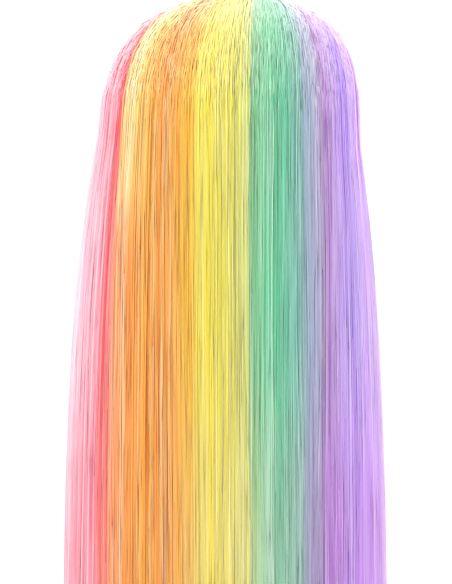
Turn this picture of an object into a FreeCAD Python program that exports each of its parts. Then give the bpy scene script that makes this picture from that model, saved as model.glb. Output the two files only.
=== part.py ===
import FreeCAD, Part
import math
import os
import Sketcher

# Long straight costume wig: a stretch cap with sewn tracks, and hair in colour bundles that flow
# from a swirl at the crown. +X is the wearer's right, +Y the way the face looks, +Z up.
# The origin is the centre of the cap's opening at brow level. Millimetres throughout.

DIMENSIONS = {
    # cap, a stretch shell fitted to the head
    "cap_half_width": 77.0,
    "cap_half_depth": 97.0,
    "cap_height": 118.0,
    "net_wall": 1.0,
    "band_wall": 1.0,
    "band_height": 9.0,
    "piece_gap": 0.3,
    "moving_gap": 0.5,
    # lower edge of the cap in side view, as heights
    "hairline_height": 42.0,
    "tab_base_height": 8.0,
    "ear_arch_height": 14.0,
    "nape_height": -45.0,
    # where the front band starts ahead of an ear tab, and the nape band behind its middle
    "front_band_ahead": 14.0,
    "nape_band_behind": 81.0,
    # ear tabs and their bendable stays
    "tab_length": 23.0,
    "tab_width": 26.0,
    "tab_foot_width": 16.6,
    "tab_corner": 7.5,
    "tab_place": 31.0,
    "tab_wall": 1.6,
    "tab_gap": 0.8,
    "stay_length": 16.0,
    "stay_width": 3.0,
    "stay_wall": 0.8,
    # sewn tracks that carry the hair, the lowest of them above the nape's edge
    "track_height": 3.5,
    "track_wall": 1.4,
    "track_pitch": 17.0,
    "track_above_nape": 9.0,
    # elastic ribs, which stop short of the crown
    "rib_width": 8.0,
    "rib_pitch": 26.0,
    "rib_below_crown": 30.0,
    # hair outside the cap: how thick it lies, and the height where its sides turn upright
    "hair_over_cap": 12.0,
    "hair_beside_cap": 21.5,
    "hair_behind_cap": 15.0,
    "hair_before_cap": 11.0,
    "dome_base": 22.0,
    "curtain_front": 48.0,
    # the free length, which spreads as it falls
    "hair_spread": 26.5,
    "spread_length": 135.0,
    "hair_bottom": -520.0,
    "curtain_wall": 10.0,
    "curtain_settle": 100.0,
    # the crown stands off to one side, and the hair straightens below it
    "crown_lean": 11.5,
    "lean_length": 70.0,
    "swirl_x": 26.0,
    "swirl_y": 25.0,
    "swirl_radius": 14.0,
    # the line the length swings about, from the back of the cap and from the nape's edge
    "hang_inset": 51.0,
    "hang_above_nape": 5.0,
    "hang_radius": 100.0,
    # the line the fringe lifts about, from the front of the cap and from the hairline
    "fringe_inset": 27.0,
    "fringe_above_hairline": 2.0,
    "fringe_lap": 2.0,
    "fringe_end": -8.0,
    "fringe_clear": 5.0,
    # straps at the nape, bent about a vertical line; their ends are degrees from the middle
    "strap_above_nape": 8.0,
    "strap_width": 8.0,
    "strap_wall": 0.9,
    "strap_start": 6.0,
    "strap_end": 62.0,
    "anchor_sweep": 6.0,
    "loop_wall": 0.8,
    "loop_pitch": 7.0,
    "loop_bar": 1.6,
    "hook_length": 11.0,
    "hook_wall": 1.4,
    "tongue_wall": 1.0,
}

doc = FreeCAD.newDocument("CostumeWig")
sheet = doc.addObject("Spreadsheet::Sheet", "Sizes")
for row, (alias, value) in enumerate(DIMENSIONS.items(), start=1):
    sheet.set(f"A{row}", alias)
    sheet.set(f"B{row}", str(value))
    sheet.setAlias(f"B{row}", alias)
doc.recompute()


def size(alias):
    """Value of one named size."""
    return float(sheet.get(alias))


REACH = 400.0
TOP, BOTTOM = 300.0, -900.0
SECTION_POINTS = 28
SECTION_PITCH = 30.0
DOME_STEPS = 8
DOME_STEPS_FIRST = 0.2
DOME_POWER = 2.6
PLAN_POWER = 2.3
SIDES = ("left", "right")

sub_parts = []


def keep(thing, name):
    """Label a finished sub-part and put it on the list that is written out."""
    thing.Label = name
    sub_parts.append(thing)
    return thing


def bind(thing, **expressions):
    """Bind properties of a document object to cells of the sheet."""
    for name, expression in expressions.items():
        thing.setExpression(name, expression)
    return thing


def feature(name, shape):
    """A sub-part whose shape is made by Part functions from the named sizes."""
    thing = doc.addObject("Part::Feature", name)
    thing.Shape = shape
    thing.Placement = FreeCAD.Placement(FreeCAD.Vector(0, 0, 0), FreeCAD.Rotation())
    return keep(thing, name)


def largest(shape):
    """The largest solid of a boolean's result, without crumbs."""
    return max(shape.Solids, key=lambda solid: solid.Volume)


def box(name, corner, extent):
    """Box whose low corner and sides are expressions on the sheet."""
    thing = doc.addObject("Part::Box", name)
    bind(thing, Length=str(extent[0]), Width=str(extent[1]), Height=str(extent[2]))
    for axis, place in zip("xyz", corner):
        thing.setExpression(f"Placement.Base.{axis}", str(place))
    return thing


def boolean(kind, name, base, tool):
    """Common or Cut of two objects of the document."""
    thing = doc.addObject(f"Part::{kind}", name)
    thing.Base = base
    thing.Tool = tool
    return thing


# ---------------------------------------------------------------- cap shells


def ellipsoid(name, offset):
    """Ellipsoid of the cap, larger or smaller by an offset given as an expression."""
    thing = doc.addObject("Part::Ellipsoid", name)
    thing.Angle1, thing.Angle2, thing.Angle3 = -90, 90, 360
    return bind(
        thing,
        Radius1=f"Sizes.cap_height + ({offset})",
        Radius2=f"Sizes.cap_half_width + ({offset})",
        Radius3=f"Sizes.cap_half_depth + ({offset})",
    )


def shell(name, outer_offset, inner_offset):
    """Closed shell between two ellipsoids of the cap."""
    outer, inner = ellipsoid(name + "Outer", outer_offset), ellipsoid(name + "Inner", inner_offset)
    return boolean("Cut", name, outer, inner)


def smooth_edge(points):
    """One smooth edge through points of the side view, given as y and z."""
    curve = Part.BSplineCurve()
    curve.interpolate([FreeCAD.Vector(0, y, z) for y, z in points])
    return curve.toShape()


# Runs along the edge from the ends of an ear tab: the temple's foot and head in front of it, and
# the ear's arch, the slope behind it, the nape's corner and its level run behind it.
TEMPLE_FOOT, TEMPLE_HEAD, TEMPLE_DROP = 8.0, 24.0, 2.0
ARCH_RUN, SLOPE_RUN, CORNER_RUN, NAPE_RUN = 15.0, 42.0, 64.0, 86.0
SLOPE_FALL, CORNER_FALL = 0.4, 0.85
EDGE_PAST_CAP = 3.0


def cap_edge(raise_by):
    """Lower edge of the cap in side view: forehead and temple, the straight run that an ear tab
    hangs from, then the arch over the ear and down behind it to the nape."""
    far = size("cap_half_depth") + EDGE_PAST_CAP
    hairline, nape = size("hairline_height") + raise_by, size("nape_height") + raise_by
    base, arch = size("tab_base_height") + raise_by, size("ear_arch_height") + raise_by
    tab_front = size("tab_place") + 0.5 * size("tab_width") + size("tab_gap")
    tab_back = size("tab_place") - 0.5 * size("tab_width") - size("tab_gap")
    temple = [
        (far, hairline),
        (tab_front + TEMPLE_HEAD, hairline - TEMPLE_DROP),
        (tab_front + TEMPLE_FOOT, 0.5 * (hairline + base)),
        (tab_front, base),
    ]
    behind_ear = [
        (tab_back, base),
        (tab_back - ARCH_RUN, arch),
        (tab_back - SLOPE_RUN, base + SLOPE_FALL * (nape - base)),
        (tab_back - CORNER_RUN, base + CORNER_FALL * (nape - base)),
        (tab_back - NAPE_RUN, nape),
        (-far, nape),
    ]
    run = Part.makeLine(FreeCAD.Vector(0, *temple[-1]), FreeCAD.Vector(0, *behind_ear[0]))
    return [smooth_edge(temple), run, smooth_edge(behind_ear)]


def side_prism(name, bottom_raise, top_raise):
    """Slab across the whole cap above its edge raised by one height, up to the edge raised by
    another, or to the top of everything."""
    low = cap_edge(bottom_raise)
    front, back = low[0].Vertexes[0].Point, low[-1].Vertexes[-1].Point
    if top_raise is None:
        corners = [back, FreeCAD.Vector(0, back.y, TOP), FreeCAD.Vector(0, front.y, TOP), front]
        closing = Part.makePolygon(corners).Edges
    else:
        high = cap_edge(top_raise)
        closing = high + [
            Part.makeLine(front, high[0].Vertexes[0].Point),
            Part.makeLine(back, high[-1].Vertexes[-1].Point),
        ]
    wire = Part.Wire(Part.__sortEdges__(low + closing))
    solid = Part.Face(wire).extrude(FreeCAD.Vector(2 * REACH, 0, 0))
    solid.translate(FreeCAD.Vector(-REACH, 0, 0))
    thing = doc.addObject("Part::Feature", name)
    thing.Shape = solid
    return thing


def slab(low, high):
    """Box between two corners, one of them or both far outside the wig."""
    extent = FreeCAD.Vector(*high) - FreeCAD.Vector(*low)
    return Part.makeBox(extent.x, extent.y, extent.z, FreeCAD.Vector(*low))


IN_NET = "-Sizes.net_wall"
IN_BAND = "-Sizes.net_wall - Sizes.band_wall"
net_shell = shell("NetShell", "0", IN_NET)
band_shell = shell("BandShell", IN_NET, IN_BAND)
track_shell = shell("TrackShell", "Sizes.track_wall", "0")
tab_shell = shell("TabShell", "0", "-Sizes.tab_wall")
stay_shell = shell("StayShell", "-Sizes.tab_wall", "-Sizes.tab_wall - Sizes.stay_wall")
anchor_limit = ellipsoid("AnchorLimit", f"{IN_BAND} - Sizes.piece_gap")
fringe_clear = ellipsoid("FringeClear", "Sizes.fringe_clear")
cap_region = side_prism("CapRegion", 0.0, None)
band_region = side_prism("BandRegion", 0.0, size("band_height"))
above_band_region = side_prism("AboveBandRegion", size("band_height") + size("piece_gap"), None)
half_space = {
    "left": box("LeftHalf", (-REACH, -REACH, BOTTOM), (REACH, 2 * REACH, TOP - BOTTOM)),
    "right": box("RightHalf", (0, -REACH, BOTTOM), (REACH, 2 * REACH, TOP - BOTTOM)),
}
doc.recompute()


def crown_column(radius):
    """Upright cylinder about the crown swirl."""
    base = FreeCAD.Vector(size("swirl_x"), size("swirl_y"), 0)
    return Part.makeCylinder(radius, TOP, base)


# ---------------------------------------------------------------- cap pieces


def make_cap():
    """Stretch net, and the bindings inside its edge: front, over each ear, and nape."""
    keep(boolean("Common", "crown_net", net_shell, cap_region), "crown_net")
    strip = boolean("Common", "BandStrip", band_shell, band_region)
    tall = TOP - BOTTOM
    ahead = "Sizes.tab_place + Sizes.tab_width / 2 + Sizes.front_band_ahead"
    behind = "Sizes.tab_place - Sizes.nape_band_behind"
    front = box("FrontReach", (-REACH, ahead, BOTTOM), (2 * REACH, REACH, tall))
    back = box("NapeReach", (-REACH, f"{behind} - {REACH}", BOTTOM), (2 * REACH, REACH, tall))
    middle = box(
        "EarReach",
        (-REACH, f"{behind} + Sizes.piece_gap", BOTTOM),
        (2 * REACH, f"{ahead} - ({behind}) - 2 * Sizes.piece_gap", tall),
    )
    keep(boolean("Common", "front_band", strip, front), "front_band")
    keep(boolean("Common", "nape_band", strip, back), "nape_band")
    over_ears = boolean("Common", "EarStrips", strip, middle)
    for side, half in half_space.items():
        keep(boolean("Common", f"ear_binding_{side}", over_ears, half), f"ear_binding_{side}")


def make_ribs():
    """Upright elastic ribs inside the net, from the nape band to the crown."""
    above = boolean("Common", "AboveBand", band_shell, above_band_region)
    height = f"Sizes.cap_height - Sizes.rib_below_crown - ({BOTTOM})"
    for number, place in enumerate((-1.5, -0.5, 0.5, 1.5), start=1):
        edge = f"{place} * Sizes.rib_pitch - Sizes.rib_width / 2"
        run = box(f"RibRun{number}", (edge, -REACH, BOTTOM), ("Sizes.rib_width", REACH, height))
        keep(boolean("Common", f"elastic_rib_{number}", above, run), f"elastic_rib_{number}")


def make_tracks():
    """Rows of weft track on the outside of the net: round the back below the hairline, then all
    the way round up to the crown."""
    on_net = boolean("Common", "TrackOnNet", track_shell, cap_region)
    lowest = size("nape_height") + size("track_above_nape")
    count = math.ceil((size("cap_height") - size("track_pitch") - lowest) / size("track_pitch"))
    for number in range(1, count + 1):
        level = f"Sizes.nape_height + Sizes.track_above_nape + {number - 1} * Sizes.track_pitch"
        below_hairline = lowest + (number - 1) * size("track_pitch") < size("hairline_height")
        depth = REACH if below_hairline else 2 * REACH
        run = box(f"TrackRun{number}", (-REACH, -REACH, level), (2 * REACH, depth, "Sizes.track_height"))
        keep(boolean("Common", f"weft_track_{number}", on_net, run), f"weft_track_{number}")


def tab_plate():
    """Plate through both ear tabs: their tapered outline, with its lower corners rounded."""
    body = doc.addObject("PartDesign::Body", "TabPlate")
    outline = body.newObject("Sketcher::SketchObject", "TabOutline")
    plane = next(part for part in body.Origin.OriginFeatures if part.Role == "YZ_Plane")
    outline.AttachmentSupport = [(plane, "")]
    outline.MapMode = "FlatFace"
    top = size("tab_base_height") - size("tab_gap")
    wide, foot = 0.5 * size("tab_width"), 0.5 * size("tab_foot_width")
    place, low = size("tab_place"), top - size("tab_length")
    corners = [(place - wide, top), (place + wide, top), (place + foot, low), (place - foot, low)]
    for number, corner in enumerate(corners):
        following = corners[(number + 1) % 4]
        line = Part.LineSegment(FreeCAD.Vector(*corner, 0), FreeCAD.Vector(*following, 0))
        outline.addGeometry(line)
    for number in range(4):
        outline.addConstraint(Sketcher.Constraint("Coincident", number, 2, (number + 1) % 4, 1))
    outline.addConstraint(Sketcher.Constraint("Horizontal", 0))
    outline.addConstraint(Sketcher.Constraint("Horizontal", 2))
    measures = [
        ("DistanceX", (-1, 1, 0, 1), corners[0][0], "Sizes.tab_place - Sizes.tab_width / 2"),
        ("DistanceY", (-1, 1, 0, 1), top, "Sizes.tab_base_height - Sizes.tab_gap"),
        ("DistanceX", (0, 1, 0, 2), 2 * wide, "Sizes.tab_width"),
        ("DistanceY", (3, 1, 0, 1), top - low, "Sizes.tab_length"),
        ("DistanceX", (3, 1, 2, 1), 2 * foot, "Sizes.tab_foot_width"),
        ("DistanceX", (0, 1, 3, 1), wide - foot, "(Sizes.tab_width - Sizes.tab_foot_width) / 2"),
    ]
    for kind, ends, value, expression in measures:
        index = outline.addConstraint(Sketcher.Constraint(kind, *ends, value))
        outline.setExpression(f"Constraints[{index}]", expression)
    pad = body.newObject("PartDesign::Pad", "TabReach")
    pad.Profile = outline
    pad.Length = 2 * REACH
    pad.Midplane = True
    doc.recompute()
    low_edges = [
        f"Edge{number}"
        for number, edge in enumerate(pad.Shape.Edges, start=1)
        if abs(edge.Length - 2 * REACH) < 1.0 and edge.Vertexes[0].Z < top - 1.0
    ]
    rounding = body.newObject("PartDesign::Fillet", "TabCorners")
    rounding.Base = (pad, low_edges)
    bind(rounding, Radius="Sizes.tab_corner")
    body.Tip = rounding
    return body


def make_ear_tabs():
    """Ear tabs under the edge of the cap, each with a bendable metal stay on its inside."""
    tabs = boolean("Common", "TabPair", tab_shell, tab_plate())
    low = "Sizes.tab_base_height - Sizes.tab_gap - (Sizes.tab_length + Sizes.stay_length) / 2"
    strip = box(
        "StayRun",
        (-REACH, "Sizes.tab_place - Sizes.stay_width / 2", low),
        (2 * REACH, "Sizes.stay_width", "Sizes.stay_length"),
    )
    stays = boolean("Common", "StayPair", stay_shell, strip)
    for side, half in half_space.items():
        keep(boolean("Common", f"ear_tab_{side}", tabs, half), f"ear_tab_{side}")
        keep(boolean("Common", f"ear_tab_stay_{side}", stays, half), f"ear_tab_stay_{side}")


# ---------------------------------------------------------------- nape straps


# The straps run on the circle that fits the inside of the nape band at the straps' lowest level:
# an ellipse of half width a and half depth b is nowhere tighter there than a circle of a * a / b.
SHRINK = "(Sizes.net_wall + Sizes.band_wall)"
STRAP_LOW = "(Sizes.nape_height + Sizes.strap_above_nape - Sizes.strap_width / 2)"
LEVEL_SHARE = f"sqrt(1 - ({STRAP_LOW} / (Sizes.cap_height - {SHRINK})) ^ 2)"
NAPE_DEPTH = f"((Sizes.cap_half_depth - {SHRINK}) * {LEVEL_SHARE})"
NAPE_RADIUS = f"(((Sizes.cap_half_width - {SHRINK}) * {LEVEL_SHARE}) ^ 2 / {NAPE_DEPTH})"
STRAP_RADIUS = f"({NAPE_RADIUS} - Sizes.piece_gap - Sizes.loop_wall)"
HOOK_INNER = f"({STRAP_RADIUS} - Sizes.moving_gap - Sizes.hook_wall)"
DEGREES_PER_MM = f"(180 / pi / {STRAP_RADIUS})"
LOOP_COUNT = 4
REST_LOOP = 3
BACK_BEARING = 270.0
WINDOW_SHARE, EYE_SHARE, TONGUE_SHARE, STRAP_SHARE = 0.6, 0.7, 0.4, 0.8
TONGUE_START, TONGUE_RUN, EYE_START = 0.1, 0.5, 0.72
CUT_PAST = 1.0


def arc_strip(name, side, inner, outer, start, sweep, height_share):
    """Upright strip bent about the nape's vertical line, between two radii, from an angle measured
    from the middle of the back and through a sweep, over a share of the strap's width."""
    turn = f"{BACK_BEARING} + {start}" if side == "right" else f"{BACK_BEARING} - ({start}) - ({sweep})"
    middle = "Sizes.nape_height + Sizes.strap_above_nape"
    columns = []
    for part, radius in (("Outer", outer), ("Inner", inner)):
        column = doc.addObject("Part::Cylinder", f"{name}{part}")
        column.Placement = FreeCAD.Placement(
            FreeCAD.Vector(0, 0, 0), FreeCAD.Rotation(FreeCAD.Vector(0, 0, 1), BACK_BEARING)
        )
        bind(column, Radius=radius, Height=f"{height_share} * Sizes.strap_width", Angle=sweep)
        column.setExpression("Placement.Base.y", f"{NAPE_RADIUS} - {NAPE_DEPTH}")
        column.setExpression("Placement.Base.z", f"{middle} - {height_share} * Sizes.strap_width / 2")
        column.setExpression("Placement.Rotation.Angle", turn)
        columns.append(column)
    return boolean("Cut", name, *columns)


def make_straps():
    """Elastic straps with hooks that catch in a ribbon of loops on each side of the nape."""
    pitch = f"Sizes.loop_pitch * {DEGREES_PER_MM}"
    bar = f"Sizes.loop_bar * {DEGREES_PER_MM}"
    hook_sweep = f"Sizes.hook_length * {DEGREES_PER_MM}"
    hook_start = f"(Sizes.strap_start + {REST_LOOP} * {pitch} + {bar})"
    hook_outer = f"({HOOK_INNER} + Sizes.hook_wall)"
    past_inner, past_outer = f"{HOOK_INNER} - {CUT_PAST}", f"{hook_outer} + {CUT_PAST}"
    for side in SIDES:
        strip_name = side.capitalize()

        def strip(name, inner, outer, start, sweep, share):
            return arc_strip(f"{name}{strip_name}", side, inner, outer, start, sweep, share)

        ribbon_outer = f"{STRAP_RADIUS} + Sizes.loop_wall"
        whole = f"{LOOP_COUNT} * {pitch} + {bar}"
        ribbon = strip("Ribbon", STRAP_RADIUS, ribbon_outer, "Sizes.strap_start", whole, 1.0)
        for number in range(LOOP_COUNT):
            window = strip(
                f"Window{number + 1}",
                f"{STRAP_RADIUS} - {CUT_PAST}",
                f"{ribbon_outer} + {CUT_PAST}",
                f"Sizes.strap_start + {number} * {pitch} + {bar}",
                f"{pitch} - {bar}",
                WINDOW_SHARE,
            )
            ribbon = boolean("Cut", f"Loops{number + 1}{strip_name}", ribbon, window)
        keep(ribbon, f"strap_loops_{side}")

        plate = strip("HookPlate", HOOK_INNER, hook_outer, hook_start, hook_sweep, 1.0)
        tongue_start = f"{hook_start} + {TONGUE_START} * {hook_sweep}"
        tongue_inner = f"{HOOK_INNER} - Sizes.tongue_wall"
        tongue = strip(
            "Tongue", tongue_inner, HOOK_INNER, tongue_start, f"{TONGUE_RUN} * {hook_sweep}", TONGUE_SHARE
        )
        eye_start = f"{hook_start} + {EYE_START} * {hook_sweep}"
        eye = strip("Eye", past_inner, past_outer, eye_start, bar, EYE_SHARE)
        hook = boolean("Fuse", f"HookBlank{strip_name}", plate, tongue)
        keep(boolean("Cut", f"Hook{strip_name}", hook, eye), f"strap_hook_{side}")

        strap_outer = f"{HOOK_INNER} + Sizes.strap_wall"
        elastic_start = f"({hook_start} + {hook_sweep})"
        sweep = f"Sizes.strap_end - {elastic_start}"
        elastic = strip("Elastic", HOOK_INNER, strap_outer, elastic_start, sweep, STRAP_SHARE)
        anchor_start = "Sizes.strap_end - Sizes.anchor_sweep"
        block = strip("Block", HOOK_INNER, NAPE_DEPTH, anchor_start, "Sizes.anchor_sweep", STRAP_SHARE)
        anchor = boolean("Common", f"Anchor{strip_name}", block, anchor_limit)
        keep(boolean("Fuse", f"Strap{strip_name}", elastic, anchor), f"adjuster_strap_{side}")


# ---------------------------------------------------------------- hair envelope


def ring(level, centre, half_width, back, front, power):
    """Closed outline in plan at one height: a superellipse with its own back and front depth."""
    points = []
    for step in range(SECTION_POINTS):
        turn = 2 * math.pi * step / SECTION_POINTS
        across, along = math.cos(turn), math.sin(turn)
        depth = front if along > 0 else back
        stretch = (abs(across) ** power + abs(along) ** power) ** (-1.0 / power)
        points.append(
            FreeCAD.Vector(centre + half_width * across * stretch, depth * along * stretch, level)
        )
    curve = Part.BSplineCurve()
    even = [step / SECTION_POINTS for step in range(SECTION_POINTS + 1)]
    curve.interpolate(Points=points, PeriodicFlag=True, Parameters=even)
    return Part.Wire([curve.toShape()])


def dome_share(drop, full_drop):
    """Share of the full width reached at a drop below the crown: a superellipse in height."""
    rest = max(0.0, 1.0 - drop / full_drop)
    return (1.0 - rest ** DOME_POWER) ** (1.0 / DOME_POWER)


def hair_top():
    """Height of the hair over the crown."""
    return size("cap_height") + size("hair_over_cap")


def dome_drop():
    """Drop from the crown to the height where the sides of the hair turn upright."""
    return hair_top() - size("dome_base")


def hair_half_width():
    """Half width of the hair where its sides turn upright."""
    return size("cap_half_width") + size("hair_beside_cap")


def outer_section(level):
    """Outer outline of all the hair at one height."""
    drop = hair_top() - level
    full_drop = dome_drop()
    share = dome_share(drop, full_drop)
    spread = 0.0
    if drop > full_drop:
        spread = size("hair_spread") * (1.0 - math.exp((full_drop - drop) / size("spread_length")))
    centre = size("crown_lean") * math.exp(-drop / size("lean_length"))
    power = 2.0 + (PLAN_POWER - 2.0) * share
    back = (size("cap_half_depth") + size("hair_behind_cap")) * share
    front = (size("cap_half_depth") + size("hair_before_cap")) * share
    return centre, hair_half_width() * share + spread, back, front, power


def inner_section(level):
    """Inner outline of all the hair at one height: over the tracks, then a curtain of even wall."""
    clear = size("track_wall") + size("piece_gap")
    height = size("cap_height") + clear
    share = math.sqrt(max(0.0, 1.0 - (max(level, 0.0) / height) ** 2))
    width = (size("cap_half_width") + clear) * share
    depth = (size("cap_half_depth") + clear) * share
    if level >= 0.0:
        return 0.0, width, depth, depth, 2.0
    step = min(1.0, -level / size("curtain_settle"))
    ease = step * step * (3.0 - 2.0 * step)
    centre, outer_width, outer_back, outer_front, power = outer_section(level)
    wall = size("curtain_wall")

    def settle(start, end):
        return start + (end - start) * ease

    return (
        settle(0.0, centre),
        settle(width, outer_width - wall),
        settle(depth, outer_back - wall),
        settle(depth, outer_front - wall),
        settle(2.0, power),
    )


def section_levels(top, dome_height, bottom):
    """Heights of the sections, about as far apart along the dome as down the length."""
    turns = [DOME_STEPS_FIRST] + list(range(1, DOME_STEPS + 1))
    levels = [top - dome_height * (1.0 - math.cos(0.5 * math.pi * turn / DOME_STEPS)) for turn in turns]
    run = levels[-1] - bottom
    count = round(run / SECTION_PITCH)
    return levels + [levels[-1] - run * step / count for step in range(1, count + 1)]


def make_envelope():
    """All the hair as one hollow shell, open at the bottom, before it is parted into bundles."""
    bottom = size("hair_bottom")
    outer_levels = section_levels(hair_top(), dome_drop(), bottom)
    outer = Part.makeLoft([ring(level, *outer_section(level)) for level in outer_levels], True, False)
    inner_height = size("cap_height") + size("track_wall") + size("piece_gap")
    inner_levels = section_levels(inner_height, inner_height, bottom - size("piece_gap"))
    inner = Part.makeLoft([ring(level, *inner_section(level)) for level in inner_levels], True, False)
    return outer.cut(inner)


def outline_point(level, x, front=False):
    """Point on the outer outline at one height with a given place across."""
    centre, half_width, back, front_depth, power = outer_section(level)
    share = min(1.0, abs((x - centre) / half_width))
    reach = (1.0 - share ** power) ** (1.0 / power)
    return (x, front_depth * reach) if front else (x, -back * reach)


def bearing(point):
    """Direction of a point from the crown swirl in plan, in degrees."""
    return math.degrees(math.atan2(point[1] - size("swirl_y"), point[0] - size("swirl_x")))


def wedge(start, end):
    """Upright wedge about the crown swirl between two bearings, a hair's gap inside each plane."""
    half_gap = 0.5 * size("piece_gap")
    hub = 0.5 * size("swirl_radius")
    span = (end - start) % 360.0
    corners = []
    for turn, inward in ((start, 1.0), (start + span, -1.0)):
        angle = math.radians(turn)
        along = (math.cos(angle), math.sin(angle))
        aside = (-inward * math.sin(angle), inward * math.cos(angle))
        for reach in (hub, REACH):
            corners.append(
                [size(f"swirl_{axis}") + reach * a + half_gap * n for axis, a, n in zip("xy", along, aside)]
            )
    middle = math.radians(start + 0.5 * span)
    far = 1.5 * REACH
    tip = [size("swirl_x") + far * math.cos(middle), size("swirl_y") + far * math.sin(middle)]
    order = [corners[0], corners[1], tip, corners[3], corners[2]]
    points = [FreeCAD.Vector(x, y, BOTTOM) for x, y in order]
    return Part.Face(Part.makePolygon(points + points[:1])).extrude(FreeCAD.Vector(0, 0, TOP - BOTTOM))


def below_pivot(pivot_y, pivot_z, radius, low):
    """Space under a pivot line along X and outside a cylinder about it."""
    box = slab((-REACH, -REACH, low), (REACH, REACH, pivot_z))
    start = FreeCAD.Vector(-REACH, pivot_y, pivot_z)
    return box.cut(Part.makeCylinder(radius, 2 * REACH, start, FreeCAD.Vector(1, 0, 0)))


# Colour bundles from the wearer's left round the back to the right, each with the place across
# the back, at chest level, where it ends and the next begins.
BACK_BUNDLES = [
    ("pink", -95.0),
    ("coral", -85.0),
    ("apricot", -62.0),
    ("orange", -34.0),
    ("amber", -20.0),
    ("lemon", 21.0),
    ("mint", 56.0),
    ("aqua", 74.0),
    ("violet", 103.0),
    ("orchid", None),
]
# The front bundles from the wearer's left to right, parted at the brow.
FRONT_BUNDLES = [("pink", -50.0), ("orange", -18.0), ("lemon", 16.0), ("mint", 50.0), ("violet", None)]
BACK_LEVEL = -250.0
BROW_LEVEL = 20.0
SIDE_SHARE = 0.92


def make_hair():
    """Upper bundles on the cap, the lengths that swing, and the fringe."""
    envelope = make_envelope().cut(crown_column(size("swirl_radius")))
    gap = size("moving_gap")
    hang = (
        size("hang_inset") - size("cap_half_depth"),
        size("nape_height") + size("hang_above_nape"),
    )
    under_hang = below_pivot(*hang, size("hang_radius") - 0.5 * gap, BOTTOM)
    length_space = below_pivot(*hang, size("hang_radius") + 0.5 * gap, BOTTOM)

    beside = SIDE_SHARE * hair_half_width()
    left_front = bearing((-beside, size("curtain_front")))
    right_front = bearing((beside, size("curtain_front")))
    start = left_front
    for name, edge in BACK_BUNDLES:
        end = right_front if edge is None else bearing(outline_point(BACK_LEVEL, edge))
        bundle = envelope.common(wedge(start, end))
        feature(f"hair_top_{name}", largest(bundle.cut(under_hang)))
        feature(f"hair_length_{name}", largest(bundle.common(length_space)))
        start = end

    pivot = (
        size("cap_half_depth") - size("fringe_inset"),
        size("hairline_height") + size("fringe_above_hairline"),
    )
    radius = size("fringe_inset") + size("hair_before_cap") + size("fringe_lap")
    under_fringe = below_pivot(*pivot, radius - 0.5 * gap, BOTTOM)
    fringe_space = below_pivot(pivot[0], pivot[1] - 0.5 * gap, radius + 0.5 * gap, size("fringe_end"))
    start = left_front
    for name, edge in FRONT_BUNDLES:
        end = right_front if edge is None else bearing(outline_point(BROW_LEVEL, edge, front=True))
        bundle = envelope.common(wedge(end, start))
        feature(f"hair_front_{name}", largest(bundle.cut(under_fringe)))
        feature(f"fringe_{name}", largest(bundle.common(fringe_space).cut(fringe_clear.Shape)))
        start = end

    swirl = make_envelope().common(crown_column(size("swirl_radius") - size("piece_gap")))
    feature("crown_swirl", largest(swirl))


make_cap()
make_ribs()
make_tracks()
make_ear_tabs()
make_straps()
make_hair()
doc.recompute()

print("line the straps bend about: y", round(doc.getObject("RibbonLeftOuter").Placement.Base.y, 3))
for thing in doc.Objects:
    if "Invalid" in thing.State or "Error" in thing.State:
        raise RuntimeError(f"{thing.Label} failed to build")

os.makedirs("parts", exist_ok=True)
for thing in sub_parts:
    shape = thing.Shape
    if shape.isNull() or not shape.isValid():
        raise RuntimeError(f"{thing.Label} has no valid shape")
    shape.exportStep(f"parts/{thing.Label}.step")
    print(f"{thing.Label:24s} {shape.Volume / 1000:9.2f} cm3  solids {len(shape.Solids)}")
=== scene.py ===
import math
import bpy
import numpy as np
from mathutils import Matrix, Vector


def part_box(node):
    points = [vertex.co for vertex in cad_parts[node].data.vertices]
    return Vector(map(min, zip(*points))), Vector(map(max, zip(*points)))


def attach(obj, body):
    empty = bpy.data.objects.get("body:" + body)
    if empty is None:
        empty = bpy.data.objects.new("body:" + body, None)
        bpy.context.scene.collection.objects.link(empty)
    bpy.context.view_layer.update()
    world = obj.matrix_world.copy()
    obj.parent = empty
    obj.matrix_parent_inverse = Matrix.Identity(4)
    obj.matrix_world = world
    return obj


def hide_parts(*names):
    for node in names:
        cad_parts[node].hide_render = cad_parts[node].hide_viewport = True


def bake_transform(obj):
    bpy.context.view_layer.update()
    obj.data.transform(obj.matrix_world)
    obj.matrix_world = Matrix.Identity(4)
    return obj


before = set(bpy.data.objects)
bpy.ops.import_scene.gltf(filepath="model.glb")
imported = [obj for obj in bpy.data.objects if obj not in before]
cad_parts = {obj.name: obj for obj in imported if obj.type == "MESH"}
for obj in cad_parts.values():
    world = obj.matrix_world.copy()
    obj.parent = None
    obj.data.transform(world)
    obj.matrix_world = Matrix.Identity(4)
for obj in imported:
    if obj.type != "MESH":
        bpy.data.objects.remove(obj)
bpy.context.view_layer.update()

mm = 0.001
draw = np.random.default_rng(604)
print("frame loaded:", len(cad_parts), "parts")

# The hair's outer form, as the frame holds it. Lengths in metres.
form = {
    "hairTop": 0.130, "domeDrop": 0.108, "hairBottom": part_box("hair_length_lemon")[0][2],
    "halfWidth": 0.0985, "spread": 0.0265, "spreadLength": 0.135,
    "backDepth": 0.112, "frontDepth": 0.108,
    "crownLean": 0.0115, "leanLength": 0.070, "swirlX": 0.026, "swirlY": 0.025,
    "domePower": 2.6, "planPower": 2.3,
    "domeRun": 0.185,            # length of hair from the swirl to brow level
    "rayReach": 0.30,            # every ray from under the swirl leaves the hair within this
    "usualReach": 0.1,           # turns lengths across the hair into bearings and back
    "chestLevel": -0.250, "browLevel": 0.020,    # heights where the runs of colour are measured
    "sideShare": 0.92, "curtainFront": 0.048,    # where the back hair ends and the fringe starts
}


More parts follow.
